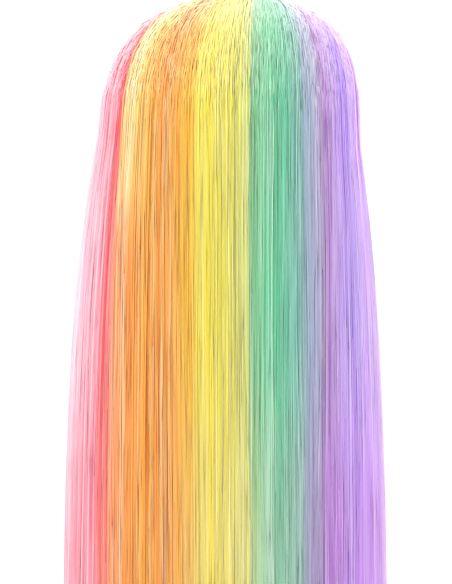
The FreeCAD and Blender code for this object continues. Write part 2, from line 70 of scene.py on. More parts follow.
def linearColour(hexValue):
    # sRGB hex to linear: the usual curve with its straight start
    parts = [int(hexValue[i:i + 2], 16) / 255 for i in (1, 3, 5)]
    return tuple(p / 12.92 if p <= 0.04045 else ((p + 0.055) / 1.055) ** 2.4 for p in parts) + (1.0,)


def outlineAt(level):
    # Plan outline of all the hair at a height: a superellipse whose half width follows
    # (1 - (1 - drop/domeDrop)^2.6)^(1/2.6) over the dome, and below it widens towards a limit.
    # Its middle leans to the right by an amount that dies away down the hair.
    drop = form["hairTop"] - level
    rest = np.clip(1 - drop / form["domeDrop"], 0, 1)
    share = np.clip(1 - rest ** form["domePower"], 1e-9, 1) ** (1 / form["domePower"])
    past = np.maximum(drop - form["domeDrop"], 0)
    width = form["halfWidth"] * share + form["spread"] * (1 - np.exp(-past / form["spreadLength"]))
    centre = form["crownLean"] * np.exp(-drop / form["leanLength"])
    power = 2 + (form["planPower"] - 2) * share
    return centre, width, form["backDepth"] * share, form["frontDepth"] * share, power


def insideHair(x, y, z):
    # True where a point is inside the hair's outer surface
    centre, width, back, front, power = outlineAt(z)
    depth = np.where(y > 0, front, back)
    return (np.abs((x - centre) / width) ** power + np.abs(y / depth) ** power < 1) & (z < form["hairTop"])


def hairPoint(bearing, run, lift):
    # Point on the hair: straight out from the swirl along a bearing in plan. Up to domeRun the ray
    # from under the swirl turns from upright to level; after that it goes down level by level.
    # The surface is found on each ray by halving the interval. lift moves out along the ray.
    turn = np.clip(run / form["domeRun"], 0, 1) * math.pi / 2
    level = -np.maximum(run - form["domeRun"], 0)
    dx, dy, dz = np.sin(turn) * np.cos(bearing), np.sin(turn) * np.sin(bearing), np.cos(turn)
    near, far = np.zeros_like(dx + lift), np.full_like(dx + lift, form["rayReach"])
    for _ in range(26):          # halved to a few nanometres
        middle = (near + far) / 2
        inner = insideHair(form["swirlX"] + dx * middle, form["swirlY"] + dy * middle, level + dz * middle)
        near, far = np.where(inner, middle, near), np.where(inner, far, middle)
    reach = near + lift
    return np.stack([form["swirlX"] + dx * reach, form["swirlY"] + dy * reach, level + dz * reach], -1)


def bearingOf(x, y):
    return math.atan2(y - form["swirlY"], x - form["swirlX"])


def backEdge(x):
    # Bearing of a place across the back, on the outline at chest level
    centre, width, back, _, power = (float(v) for v in outlineAt(np.array(form["chestLevel"])))
    reach = (1 - min(1, abs((x - centre) / width)) ** power) ** (1 / power)
    return bearingOf(x, -back * reach)


def frontEdge(x):
    # Bearing of a place across the brow
    centre, width, _, front, power = (float(v) for v in outlineAt(np.array(form["browLevel"])))
    reach = (1 - min(1, abs((x - centre) / width)) ** power) ** (1 / power)
    return bearingOf(x, front * reach)


# Slow waves shared by neighbouring hairs, so that locks lie and part together.
waveCount = 9
waveSize = draw.uniform(0.4, 1.0, waveCount)
waveAcross = draw.uniform(6, 46, waveCount) * draw.choice([-1, 1], waveCount)
waveAlong = draw.uniform(3, 15, waveCount)
wavePhase = draw.uniform(0, 2 * math.pi, waveCount)


def slowWave(bearing, run, fineness, shift):
    # Sum of sines of bearing and run: one smooth random height for each place on the hair
    total = np.zeros(np.broadcast(bearing, run).shape)
    for size, across, along, phase in zip(waveSize, waveAcross, waveAlong, wavePhase):
        total += size * np.sin(across * fineness * bearing + along * run + phase * (1 + shift))
    return total / waveSize.sum()


# Each run of colour: where it ends across the back, its tones from left to right near the crown,
# and the same places lower down, where the dye is a little different. Some change over a length of
# hair of their own, given as dye.
# darker tones at some runs' edges are painted shade of the creases between runs
backRuns = {
    "pink": {
        "edge": -0.095,
        "high": ["#FFAABD", "#FFAEC0", "#FFB4C6", "#FFBAC9", "#FDB2C0", "#F994A2"],
        "low": ["#FF9CB2", "#FF9CB3", "#FFA0B5", "#FC9CAE", "#FA92A2", "#F88896"],
    },
    "coral": {
        "edge": -0.085,
        "high": ["#F88C94", "#F2646A", "#E8585E", "#F99A80"],
        "low": ["#FA9096", "#F57670", "#EC6A62", "#FA9674"],
    },
    "apricot": {
        "edge": -0.062,
        "dye": (0.14, 0.28),
        "high": ["#FBC88E", "#FCD69C", "#FCDEA0", "#FBCC7C", "#FAB55C"],
        "low": ["#FA9C68", "#FA9C66", "#FBA25C", "#FCA356", "#FBA44E"],
    },
    "orange": {
        "edge": -0.034,
        "dye": (0.14, 0.34),
        "high": ["#FAB45A", "#FAAE54", "#F9A650", "#FAAC54", "#FBB24E"],
        "low": ["#FCA852", "#FBA64E", "#F9A04E", "#FBA855", "#FBB058"],
    },
    "amber": {
        "edge": -0.020,
        "high": ["#FBB448", "#FBB644", "#FBB944", "#FBC04A", "#F5D458"],
        "low": ["#FAB65C", "#FABA60", "#FAC068", "#FAC86C", "#F9D46E"],
    },
    "lemon": {
        "edge": 0.017,
        # the last high tone, darker and olive, with mint's first high tone, is painted shade of the crease
        # between lemon and mint
        "high": ["#F9DE64", "#F5DF5C", "#F0DC58", "#EADC62", "#E2DA6C", "#CCD27C"],
        "low": ["#FADB74", "#FADF70", "#F9DF6C", "#F2DC74", "#EBD87A", "#E2D880"],
    },
    "mint": {
        "edge": 0.056,
        "high": ["#94BC8C", "#84CC9A", "#6CC896", "#74C69E", "#80C2AA", "#8CB2B0"],
        "low": ["#CCD08A", "#A6CC9C", "#98CAA2", "#92C6A6", "#96C0AC", "#9CB4B0"],
    },
    "aqua": {
        "edge": 0.074,
        # the last tones, darker and plum, with violet's first tones, are painted shade of the crease
        # between aqua and violet
        "high": ["#9AB4BE", "#A8B0C6", "#B4AECC", "#A87AB8"],
        "low": ["#A0ACBA", "#AA9CC0", "#AA96C0", "#B284C4"],
    },
    "violet": {
        "edge": 0.103,
        "high": ["#B888CC", "#CAA4E4", "#BC96EA", "#BE98EE", "#CDAAF4"],
        "low": ["#B884D0", "#C68CDA", "#C290E6", "#C893E9", "#D09AEE"],
    },
    "orchid": {
        "edge": None,
        "high": ["#CFA6F4", "#D8ACF6", "#DDAEF4", "#D8A8F0", "#DDAEF2"],
        "low": ["#C690E4", "#D29CEC", "#D6A2EE", "#D8A6EE", "#DAAAF0"],
    },
}
frontRuns = {
    "pink": {
        "edge": -0.050,
        "high": ["#FFB0C2", "#FFAABD", "#FC9C9C", "#F9887A"],
        "low": ["#FF9FB4", "#FFA0B6", "#FC9494", "#F88072"],
    },
    "orange": {
        "edge": -0.018,
        "high": ["#FBB878", "#FBB862", "#FBB050", "#FBC450"],
        "low": ["#FBA468", "#FBAC54", "#FBA64A", "#FBBE4A"],
    },
    "lemon": {
        "edge": 0.016,
        "high": ["#FAD85E", "#F2DE5C", "#E0D868"],
        "low": ["#FAD452", "#F1DB54", "#DCD664"],
    },
    "mint": {
        "edge": 0.050,
        "high": ["#9ED29C", "#80CC9E", "#84C8AE"],
        "low": ["#96CF96", "#78C898", "#7CC4A8"],
    },
    "violet": {
        "edge": None,
        "high": ["#A8AEC6", "#B894DC", "#BE98EA", "#CFA6F2", "#DAACF2"],
        "low": ["#A8A4C2", "#B98CDA", "#BC92E8", "#CFA2F0", "#D8A8F0"],
    },
}
leftFront = bearingOf(-form["sideShare"] * form["halfWidth"], form["curtainFront"])
rightFront = bearingOf(form["sideShare"] * form["halfWidth"], form["curtainFront"])

lock = {
    "strandsPerDegree": 18, "stations": 20, "halfWidth": 0.46 * mm, "height": 0.40 * mm,
    "thickness": (0.7, 1.35),                    # thinnest and thickest strand, as shares
    "reliefWide": 1.4 * mm, "reliefFine": 0.35 * mm, "reliefRun": 0.22,   # full relief this far down
    "wander": 1.8 * mm, "ownWander": 0.35 * mm, "ownWaves": (8, 26), "roomRun": 0.12,
    "wall": 7 * mm, "lie": 1.0 * mm,             # the body's thickness, and how far it lies under
    "bodyStart": 0.016, "bodyColumns": 1.6, "bodyRows": 64, "bodyShade": 0.42,
    "depth": (-0.9 * mm, 0.35 * mm), "rootDip": 2.2 * mm, "rootRun": 0.05,
    "tintSpread": 0.035,
    "mingle": 0.012, "mingleSpread": 0.005, "limitGap": 0.002,   # neighbours cross at a run's edge
    "straying": 0.035, "strayLift": 2.4 * mm,    # a few hairs stand off the rest
}


def addNode(tree, kind, settings=None, links=None):
    # One node with its settings, and links given as input name to output socket
    made = tree.nodes.new(kind)
    for name, value in (settings or {}).items():
        if isinstance(name, int) or name in made.inputs:
            made.inputs[name].default_value = value
        else:
            setattr(made, name, value)
    for name, source in (links or {}).items():
        tree.links.new(source, made.inputs[name])
    return made


def newMaterial(name):
    made = bpy.data.materials.new(name)
    made.use_nodes = True
    made.node_tree.nodes.clear()
    return made, made.node_tree


fibre = {
    "dye": (0.30, 0.47),
    "streakWidth": 1.0 * mm, "streakLength": 110 * mm, "streakShare": 0.45,
    "darkest": 0.92, "lightest": 1.06, "lightTo": 1.35,
    # power put on the colour: the darkest hairs are the most strongly dyed
    "deepest": 1.55, "faintest": 0.90, "deepTo": 1.1,
    # the pale tone is used both for the palest hairs and for the painted highlight over the crown
    "paleHairAndHighlightTone": "#FFF6EA", "paleFrom": 0.92, "paleTo": 1.30, "palest": 0.38,
    "crownPaintedHighlight": 0.22, "crownHighlightStart": 0.07, "crownHighlightEnd": 0.15,   # painted highlight: the hair over the crown is mixed towards the pale tone
    "surface": {"Roughness": 0.42, "IOR": 1.5, "Sheen Weight": 0.10, "Sheen Roughness": 0.35,
                "Specular IOR Level": 0.45, "Anisotropic": 0.5, "Subsurface Weight": 0.6,
                "Subsurface Radius": (1.0, 0.8, 0.7), "Subsurface Scale": 2.0 * mm},
}


def toneRamp(tree, tones, place):
    ramp = addNode(tree, "ShaderNodeValToRGB", links={"Fac": place})
    points = ramp.color_ramp.elements
    points[0].color, points[1].color = linearColour(tones[0]), linearColour(tones[-1])
    for number, hexValue in enumerate(tones[1:-1], start=1):
        points.new(number / (len(tones) - 1)).color = linearColour(hexValue)
    return ramp.outputs["Color"]


def fibreMaterial(name, high, low, dye=fibre["dye"]):
    # Modacrylic fibre, extruded smooth: a soft silky gloss along the hair, light that shines a little
    # way through it, and tones that change from hair to hair and a little along each one. The
    # lightest hairs are the palest. The high tones give way to the low ones over the run that dye
    # holds. Over the crown the colour is mixed towards the pale tone as a painted highlight.
    made, tree = newMaterial(name)
    place = addNode(tree, "ShaderNodeAttribute", {"attribute_name": "across"}).outputs["Fac"]
    shade = addNode(tree, "ShaderNodeAttribute", {"attribute_name": "shade"})
    threads = addNode(tree, "ShaderNodeUVMap", {"uv_map": "alongHair"})
    run = addNode(tree, "ShaderNodeSeparateXYZ", links={"Vector": threads.outputs["UV"]})
    lower = addNode(
        tree, "ShaderNodeMapRange",
        {"interpolation_type": "SMOOTHSTEP", "From Min": dye[0], "From Max": dye[1]},
        {"Value": run.outputs["Y"]},
    )
    tone = addNode(
        tree, "ShaderNodeMix", {"data_type": "RGBA"},
        {0: lower.outputs["Result"], 6: toneRamp(tree, high, place), 7: toneRamp(tree, low, place)},
    )
    stretched = addNode(
        tree, "ShaderNodeMapping",
        {"Scale": (1 / fibre["streakWidth"], 1 / fibre["streakLength"], 1)},
        {"Vector": threads.outputs["UV"]},
    )
    streak = addNode(
        tree, "ShaderNodeTexNoise", {"Scale": 1.0, "Detail": 3.0}, {"Vector": stretched.outputs["Vector"]}
    )
    mixed = addNode(
        tree, "ShaderNodeMath", {"operation": "MULTIPLY_ADD", 1: fibre["streakShare"]},
        {0: streak.outputs["Fac"], 2: shade.outputs["Fac"]},
    )
    light = addNode(
        tree, "ShaderNodeMapRange",
        {"From Min": 0.0, "From Max": fibre["lightTo"], "To Min": fibre["darkest"],
         "To Max": fibre["lightest"]},
        {"Value": mixed.outputs["Value"]},
    )
    depth = addNode(
        tree, "ShaderNodeMapRange",
        {"From Min": 0.0, "From Max": fibre["deepTo"], "To Min": fibre["deepest"],
         "To Max": fibre["faintest"]},
        {"Value": mixed.outputs["Value"]},
    )
    dyed = addNode(
        tree, "ShaderNodeGamma", links={"Color": tone.outputs[2], "Gamma": depth.outputs["Result"]}
    )
    tinted = addNode(
        tree, "ShaderNodeHueSaturation",
        links={"Color": dyed.outputs["Color"], "Value": light.outputs["Result"]},
    )
    paleness = addNode(
        tree, "ShaderNodeMapRange",
        {"From Min": fibre["paleFrom"], "From Max": fibre["paleTo"], "To Min": 0.0,
         "To Max": fibre["palest"]},
        {"Value": mixed.outputs["Value"]},
    )
    # painted highlight: strongest near the swirl, fading out down the run over the crown
    crown = addNode(
        tree, "ShaderNodeMapRange",
        {"From Min": fibre["crownHighlightStart"], "From Max": fibre["crownHighlightEnd"], "To Min": fibre["crownPaintedHighlight"],
         "To Max": 0.0},
        {"Value": run.outputs["Y"]},
    )
    # the larger of the pale hairs' share and the painted highlight over the crown
    palest = addNode(
        tree, "ShaderNodeMath", {"operation": "MAXIMUM"},
        {0: paleness.outputs["Result"], 1: crown.outputs["Result"]},
    )
    paleHairsAndPaintedHighlight = addNode(
        tree, "ShaderNodeMix", {"data_type": "RGBA", 7: linearColour(fibre["paleHairAndHighlightTone"])},
        {0: palest.outputs["Value"], 6: tinted.outputs["Color"]},
    )
    gloss = addNode(
        tree, "ShaderNodeBsdfPrincipled", fibre["surface"], {"Base Color": paleHairsAndPaintedHighlight.outputs[2]},
    )
    addNode(tree, "ShaderNodeOutputMaterial", links={"Surface": gloss.outputs["BSDF"]})
    return made


def buildMesh(name, parts, material):
    # Joins parts into one mesh. Each part gives points, four-sided faces, three-sided tips if it has
    # any, and the across, shade and alongHair values of its points.
    starts = np.cumsum([0] + [part["points"].reshape(-1, 3).shape[0] for part in parts])
    points = np.concatenate([part["points"].reshape(-1, 3) for part in parts])
    quads = np.concatenate([part["faces"] + start for part, start in zip(parts, starts)])
    noTips = np.zeros((0, 3), int)
    tips = np.concatenate([part.get("tips", noTips) + start for part, start in zip(parts, starts)])
    corners = np.concatenate([quads.ravel(), tips.ravel()])
    sides = np.concatenate([np.full(len(quads), 4), np.full(len(tips), 3)])
    mesh = bpy.data.meshes.new(name)
    mesh.vertices.add(len(points))
    mesh.vertices.foreach_set("co", points.ravel())
    mesh.loops.add(len(corners))
    mesh.loops.foreach_set("vertex_index", corners)
    mesh.polygons.add(len(sides))
    mesh.polygons.foreach_set("loop_start", np.concatenate([[0], np.cumsum(sides)[:-1]]))
    mesh.polygons.foreach_set("loop_total", sides)
    mesh.polygons.foreach_set("use_smooth", np.ones(len(sides), bool))
    mesh.update(calc_edges=True)
    for attribute in ("across", "shade"):
        values = np.concatenate([np.ravel(part[attribute]) for part in parts])
        mesh.attributes.new(attribute, "FLOAT", "POINT").data.foreach_set("value", values)
    along = np.concatenate([part["along"].reshape(-1, 2) for part in parts])
    mesh.uv_layers.new(name="alongHair").data.foreach_set("uv", along[corners].ravel())
    mesh.materials.append(material)
    mesh.validate()
    piece = bpy.data.objects.new(name, mesh)
    bpy.context.scene.collection.objects.link(piece)
    return piece


def ringFaces(rows, columns):
    # Four-sided faces of a grid of points whose every row is a closed ring
    r = np.arange(rows - 1)[:, None]
    c = np.arange(columns)[None, :]
    nextC = (c + 1) % columns
    corners = np.stack(np.broadcast_arrays(r * columns + c, (r + 1) * columns + c,
                                           (r + 1) * columns + nextC, r * columns + nextC), -1)
    return corners.reshape(-1, 4)


def relief(bearing, run):
    # Height of the locks: broad rounded locks and fine ones on top
    wide = slowWave(bearing, run, 1.0, 0.0)
    fine = slowWave(bearing, run * 0.6, 4.2, 0.7)
    grown = np.clip(run / lock["reliefRun"], 0.08, 1) ** 1.5
    return (lock["reliefWide"] * wide + lock["reliefFine"] * fine) * grown


def bodyOfHair(first, last, startRun, endRun):
    # Closed shell under the strands: outer face with the locks' relief, inner face a wall deeper,
    # the wall thinning to the ends. A ring of points round the wall is carried along the run.
    across = max(8, int(math.degrees(last - first) * lock["bodyColumns"]))
    share = np.linspace(0.004, 0.996, across)
    bearing = first + (last - first) * share
    run = startRun + (endRun - startRun) * np.linspace(0, 1, lock["bodyRows"]) ** 1.15
    bearingRow, runColumn = bearing[None, :], run[:, None]
    ends = np.clip((endRun - runColumn) / 0.05, 0.12, 1)
    outer = hairPoint(bearingRow, runColumn, relief(bearingRow, runColumn) - lock["lie"])
    inner = hairPoint(bearingRow, runColumn, -lock["lie"] - lock["wall"] * ends + 0 * bearingRow)
    points = np.concatenate([outer, inner[:, ::-1]], 1)
    ringShare = np.concatenate([share, share[::-1]])
    size = points.shape[:2]
    side = ringFaces(*size)
    near = np.arange(across - 1)
    far = size[1] - 1 - near
    startWall = np.stack([near, near + 1, far - 1, far], -1)
    endWall = startWall[:, ::-1] + (size[0] - 1) * size[1]
    along = np.stack([np.broadcast_to(ringShare * (last - first) * form["usualReach"], size),
                      np.broadcast_to(run[:, None], size)], -1)
    return {"points": points, "faces": np.concatenate([side, startWall, endWall]),
            "across": np.broadcast_to(ringShare, size), "shade": np.full(size, lock["bodyShade"]),
            "along": along}


def threadMesh(middle, out, half, high):
    # Closed three-sided threads with pointed ends, from their middle lines, the direction each
    # faces out, half width and height: a triangle carried along the line, flat side inwards.
    count, stations = middle.shape[:2]
    ahead = np.gradient(middle, axis=1)
    ahead /= np.linalg.norm(ahead, axis=2, keepdims=True) + 1e-12
    side = np.cross(ahead, out)
    side /= np.linalg.norm(side, axis=2, keepdims=True) + 1e-12
    ring = np.stack([middle + side * half - out * high * 0.5, middle + out * high,
                     middle - side * half - out * high * 0.5], 2)[:, 1:-1]
    rings = (stations - 2) * 3
    points = np.concatenate([ring.reshape(count, rings, 3), middle[:, :1], middle[:, -1:]], 1)
    quads = ringFaces(stations - 2, 3)
    first = np.array([[0, 1, rings], [1, 2, rings], [2, 0, rings]])
    last = np.array([[1, 0, rings + 1], [2, 1, rings + 1], [0, 2, rings + 1]])
    last[:, :2] += rings - 3
    offsets = (np.arange(count) * (rings + 2))[:, None, None]
    return (points, (quads[None] + offsets).reshape(-1, 4),
            (np.concatenate([first, last])[None] + offsets).reshape(-1, 3))


def perPoint(values):
    # One value a station, spread over the three corners of each ring and the two pointed ends
    body = np.repeat(values[:, 1:-1], 3, axis=1)
    return np.concatenate([body, values[:, :1], values[:, -1:]], 1)


def strandsOf(first, last, limits, startRange, endRange, count, depthRange, straying=0.0):
    # Thin tapered strands between two bearings. Each follows the flow from the swirl with the locks'
    # slow wander and a sine of its own, rising from under the surface at its root, and crosses the
    # run's edge a little, though never the limits. A share of them, the straying, arch off the dome.
    stations = lock["stations"]
    share = (np.arange(count) + draw.uniform(0, 1, count)) / count
    start = startRange[0] + (startRange[1] - startRange[0]) * draw.uniform(0, 1, count) ** 1.6
    end = endRange[0] + (endRange[1] - endRange[0]) * draw.uniform(0, 1, count) ** 0.6
    depth = draw.uniform(*depthRange, count)
    step = np.linspace(0, 1, stations)[None, :]
    run = start[:, None] + (end - start)[:, None] * (0.4 * step + 0.6 * step ** 2)
    bearing = (first + (last - first) * share + draw.normal(0, lock["mingleSpread"], count))[:, None]
    drift = lock["wander"] * slowWave(bearing, run, 0.5, 0.3) / form["usualReach"]
    own = draw.normal(0, lock["ownWander"], count)[:, None] * np.sin(
        run * draw.uniform(*lock["ownWaves"], count)[:, None]
        + draw.uniform(0, 6, count)[:, None]) / form["usualReach"]
    room = np.clip(run / lock["roomRun"], 0.15, 1)
    lowest = max(first - lock["mingle"], limits[0] + lock["limitGap"])
    highest = min(last + lock["mingle"], limits[1] - lock["limitGap"])
    lie = np.clip(bearing + (drift + own) * room, lowest, highest)
    rise = np.clip((run - start[:, None]) / lock["rootRun"], 0, 1)
    stray = lock["strayLift"] * draw.uniform(0, 1, count) * (draw.uniform(0, 1, count) < straying)
    arch = np.sin(np.clip((run - 0.01) / (form["domeRun"] + 0.03), 0, 1) * math.pi)
    lift = relief(bearing, run) + depth[:, None] - (1 - rise) * lock["rootDip"] + stray[:, None] * arch
    taper = np.clip(step / 0.04 + 0.15, 0, 1) * np.clip((1.02 - step) / 0.16, 0.06, 1) ** 0.7
    taper = taper * np.clip(run / 0.05, 0.35, 1)
    thick = draw.uniform(*lock["thickness"], count)[:, None] * taper
    middle = hairPoint(lie, run, lift)
    out = hairPoint(lie, run, lift + 1 * mm) - middle
    out /= np.linalg.norm(out, axis=2, keepdims=True) + 1e-12
    half, high = (lock["halfWidth"] * thick)[..., None], (lock["height"] * thick)[..., None]
    points, quads, tips = threadMesh(middle, out, half, high)
    size = (count, stations)
    tint = np.clip(share + draw.normal(0, lock["tintSpread"], count), 0, 1)
    shade = np.clip(draw.beta(2.0, 2.0, count), 0, 1)
    wide = (share * (last - first) * form["usualReach"])[:, None]
    along = np.stack([perPoint(np.broadcast_to(wide, size)), perPoint(run)], -1)
    return {"points": points, "faces": quads, "tips": tips,
            "across": perPoint(np.broadcast_to(tint[:, None], size)),
            "shade": perPoint(np.broadcast_to(shade[:, None], size)), "along": along}


backHair = {
    "rootRun": (0.014, 0.110), "endsAbove": (0.070, 0.002), "bodyShort": 0.030, "pinkStraying": 2,
    # one strand in four again on the inner side, where only the lower hair is seen
    "innerDepth": (-9.4 * mm, -8.0 * mm), "innerRoot": (0.150, 0.260), "innerEndsAbove": (0.080, 0.004),
    "innerShare": 4,
    "bendStart": (0, -0.05, -0.050), "bendEnd": (0, -0.05, -0.190),
}


def makeBackHair():
    first = leftFront
    limits = (leftFront, rightFront + 2 * math.pi)
    bottomRun = form["domeRun"] - form["hairBottom"]
    for name, run in backRuns.items():
        last = rightFront + 2 * math.pi if run["edge"] is None else backEdge(run["edge"]) + 2 * math.pi
        count = int(math.degrees(last - first) * lock["strandsPerDegree"])
        straying = lock["straying"] * (backHair["pinkStraying"] if name == "pink" else 1)
        outerEnds = tuple(bottomRun - above for above in backHair["endsAbove"])
        innerEnds = tuple(bottomRun - above for above in backHair["innerEndsAbove"])
        parts = [
            bodyOfHair(first, last, lock["bodyStart"], bottomRun - backHair["bodyShort"]),
            strandsOf(first, last, limits, backHair["rootRun"], outerEnds, count, lock["depth"], straying),
            strandsOf(first, last, limits, backHair["innerRoot"], innerEnds,
                      count // backHair["innerShare"], backHair["innerDepth"]),
        ]
        dye = run.get("dye", fibre["dye"])
        material = fibreMaterial(f"{name}Modacrylic", run["high"], run["low"], dye)
        piece = buildMesh(f"{name}Hair", parts, material)
        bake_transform(piece)
        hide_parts(f"hair_top_{name}", f"hair_length_{name}")
        first = last
        print("back hair:", name, count, "strands", len(piece.data.polygons), "faces")


fringe = {
    "pastBrow": 0.008, "rootRun": (0.014, 0.090), "endsAbove": (0.016, 0.001), "bodyShort": 0.022,
    "bendStart": (0, 0.09, 0.062), "bendEnd": (0, 0.09, 0.020),
}


def makeFrontHair():
    first = leftFront
    for name, run in frontRuns.items():
        last = rightFront if run["edge"] is None else frontEdge(run["edge"])
        count = int(math.degrees(first - last) * lock["strandsPerDegree"])
        endRun = form["domeRun"] + fringe["pastBrow"]
        ends = tuple(endRun - above for above in fringe["endsAbove"])
        parts = [
            bodyOfHair(last, first, lock["bodyStart"], endRun - fringe["bodyShort"]),
            strandsOf(last, first, (rightFront, leftFront), fringe["rootRun"], ends, count,
                      lock["depth"], lock["straying"]),
        ]
        for part in parts:
            part["across"] = 1 - part["across"]
        material = fibreMaterial(f"{name}FringeModacrylic", run["high"], run["low"])
        piece = buildMesh(f"{name}Fringe", parts, material)
        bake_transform(piece)
        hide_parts(f"hair_front_{name}", f"fringe_{name}")
        first = last
        print("front hair:", name, count, "strands", len(piece.data.polygons), "faces")


swirl = {
    "patchRun": 0.0185, "patchTop": -3.4 * mm, "patchWall": 2.0 * mm, "rings": 10, "spokes": 72,
    "strands": 620, "stations": 12, "turn": 1.7, "reach": (0.024, 0.046), "lift": (-3.2 * mm, 0.2 * mm),
    "halfWidth": 0.36 * mm, "height": 0.30 * mm, "rootRun": (0.0015, 0.011), "tuck": 2.6 * mm,
    "round": 0.6,                # length once round, for the streaks
    # tones by bearing from the right, through the front, the left and the back
    "tones": ["#D4ACF6", "#CFA2F0", "#B0A6C8", "#7CC4A8", "#B8D488", "#F1DB54", "#FBAE54", "#FC9C9C",
              "#FFB4C6", "#FBAFC0", "#FBC98A", "#FAB45A", "#E8D64A", "#7CCAA4", "#B4AECC", "#BC94EE",
              "#D4ACF6"],
}


def scalpPatch():
    # Closed round patch under the swirl: rings of points round an upright axis on its upper and
    # lower faces, following the dome, with one point at each pole
    rings, spokes = swirl["rings"], swirl["spokes"]
    bearing = np.arange(spokes)[None, :] / spokes * 2 * math.pi
    run = (np.arange(1, rings + 1) / rings * swirl["patchRun"])[:, None]
    upper = hairPoint(bearing, run, swirl["patchTop"] + 0 * bearing * run)
    lower = hairPoint(bearing, run, swirl["patchTop"] - swirl["patchWall"] + 0 * bearing * run)
    sheet = np.concatenate([upper, lower[::-1]]).reshape(-1, 3)
    poles = np.stack([upper[0].mean(0), lower[0].mean(0)])
    total = 2 * rings * spokes
    near = np.arange(spokes)
    beside = (near + 1) % spokes
    top = np.stack([near, beside, np.full(spokes, total)], -1)
    bottom = np.stack([beside, near, np.full(spokes, total + 1)], -1)
    bottom[:, :2] += (2 * rings - 1) * spokes
    points = np.concatenate([sheet, poles])
    share = np.concatenate([np.tile(near / spokes, 2 * rings), [0.5, 0.5]])
    along = np.stack([share * 0.1, np.full(len(points), 0.02)], -1)
    return {"points": points, "faces": ringFaces(2 * rings, spokes),
            "tips": np.concatenate([top, bottom]),
            "across": share, "shade": np.full(len(points), 0.45), "along": along}


def swirlStrands():
    # Short threads that start near the whorl's middle and turn outward into the flow: the bearing
    # eases from a turn behind to the strand's own as it runs out
    count, stations = swirl["strands"], swirl["stations"]
    own = (np.arange(count) + draw.uniform(0, 1, count))[:, None] / count * 2 * math.pi
    step = np.linspace(0, 1, stations)[None, :]
    start = draw.uniform(*swirl["rootRun"], count)[:, None]
    end = draw.uniform(*swirl["reach"], count)[:, None]
    run = start + (end - start) * step
    bearing = own - swirl["turn"] * (1 - step) ** 2
    low, high = swirl["lift"]
    tuck = swirl["tuck"] * np.clip(step * 3 - 2, 0, 1) ** 2      # the last third dips under the locks
    lift = low + (high - low) * np.sin(step * math.pi / 2) - tuck
    middle = hairPoint(bearing, run, lift)
    out = hairPoint(bearing, run, lift + 1 * mm) - middle
    out /= np.linalg.norm(out, axis=2, keepdims=True) + 1e-12
    taper = (np.clip(step / 0.1 + 0.3, 0, 1) * np.clip((1.05 - step) / 0.3, 0.1, 1))[..., None]
    ones = np.ones((count, stations, 1))
    points, quads, tips = threadMesh(
        middle, out, ones * swirl["halfWidth"] * taper, ones * swirl["height"] * taper)
    shade = perPoint(np.broadcast_to(draw.beta(2, 2, count)[:, None], (count, stations)))
    place = perPoint(np.broadcast_to(own / (2 * math.pi), (count, stations)))
    along = np.stack([place * swirl["round"], perPoint(run)], -1)
    return {"points": points, "faces": quads, "tips": tips, "across": place, "shade": shade, "along": along}


def makeSwirl():
    material = fibreMaterial("mixedModacrylic", swirl["tones"], swirl["tones"])
    piece = buildMesh("crownSwirl", [scalpPatch(), swirlStrands()], material)
    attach(piece, "cap")
    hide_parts("crown_swirl")
    print("crown swirl:", len(piece.data.polygons), "faces")


makeBackHair()
makeFrontHair()
makeSwirl()

strap = {
    "bendY": -0.03348, "level": -0.037, "inner": 52.39 * mm, "wall": 0.9 * mm, "halfHeight": 3.2 * mm,
    "from": 41.6, "to": 62.6, "stations": 120, "sides": 28, "gather": 0.16 * mm, "gathers": 22,
    "flatLength": 0.0195, "foldFrom": 0.72, "foldExtra": 1.1,
    "bendFrom": 55.0, "bendTo": 43.0,            # degrees round the nape, between cap and hook
}


